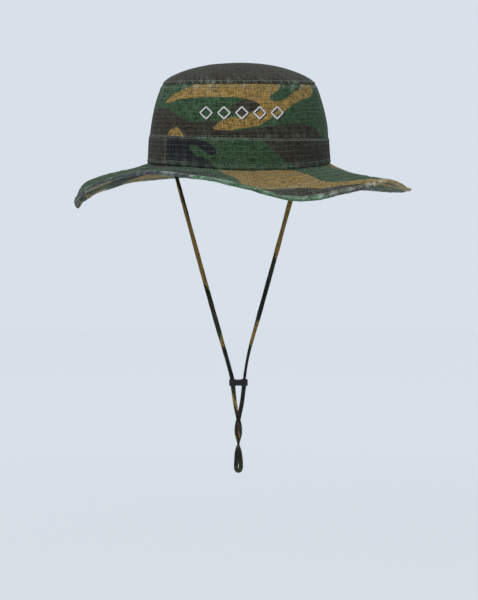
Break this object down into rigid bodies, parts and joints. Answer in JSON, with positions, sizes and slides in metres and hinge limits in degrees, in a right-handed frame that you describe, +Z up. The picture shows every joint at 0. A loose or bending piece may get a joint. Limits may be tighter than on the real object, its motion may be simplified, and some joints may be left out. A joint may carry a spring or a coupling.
{
  "type": "boonie hat",
  "caption": "Soft camouflage boonie hat with a domed oval crown, a wide wavy brim and a hanging chin cord with a slider.",
  "frame": {"origin": "centre of the mouth of the crown, at the height of the crown and brim seam", "axes": "+Z up through the crown, the wearer looks along -Y, +X to the right of someone who looks at the front"},
  "size_m": [0.3172, 0.3546, 0.4082],
  "materials": {
    "camo_ripstop": "washed ripstop cotton printed in four camouflage inks",
    "seam_tape": "plain cotton bias tape",
    "embroidery_thread": "satin stitched polyester thread",
    "blackened_brass": "blackened and worn at the rim",
    "sweatband_twill": "cotton twill",
    "label_satin": "woven satin, blank",
    "cord_fabric": "folded and stitched ripstop strip",
    "sewing_thread": "spun polyester sewing thread",
    "interlining": "non-woven stiffener",
    "faded_binding": "ripstop strip faded along its fold",
    "moulded_nylon": "moulded nylon"
  },
  "bodies": {
    "hat": {"crown_top": "camo_ripstop", "crown_side_front": "camo_ripstop", "crown_side_back": "camo_ripstop", "crown_top_tape": "seam_tape", "side_seam_tapes": "seam_tape", "hat_band": "camo_ripstop", "front_embroidery": "embroidery_thread", "vent_eyelets": "blackened_brass", "vent_washers": "blackened_brass", "sweatband": "sweatband_twill", "blank_label": "label_satin", "cord_end_tabs": "cord_fabric", "bar_tacks": "sewing_thread", "brim_top_front": "camo_ripstop", "brim_top_back": "camo_ripstop", "brim_stiffener": "interlining", "brim_under_front": "camo_ripstop", "brim_under_back": "camo_ripstop", "brim_edge_binding": "faded_binding"},
    "chin_cord": {"cord_left": "cord_fabric", "cord_right": "cord_fabric", "cord_tail": "cord_fabric"},
    "slider": {"cord_slider": "moulded_nylon"}
  },
  "joints": [
    {"name": "chin_cord_swing", "type": "hinge", "parent": "hat", "child": "chin_cord", "pos_m": [0, 0.0625, -0.0044], "axis": [1, 0, 0], "range_deg": [-75, 45]},
    {"name": "slider_travel", "type": "slide", "parent": "chin_cord", "child": "slider", "axis": [0, 0, 1], "range_m": [-0.02, 0.11], "deforming": ["cord_left", "cord_right", "cord_tail"]}
  ]
}
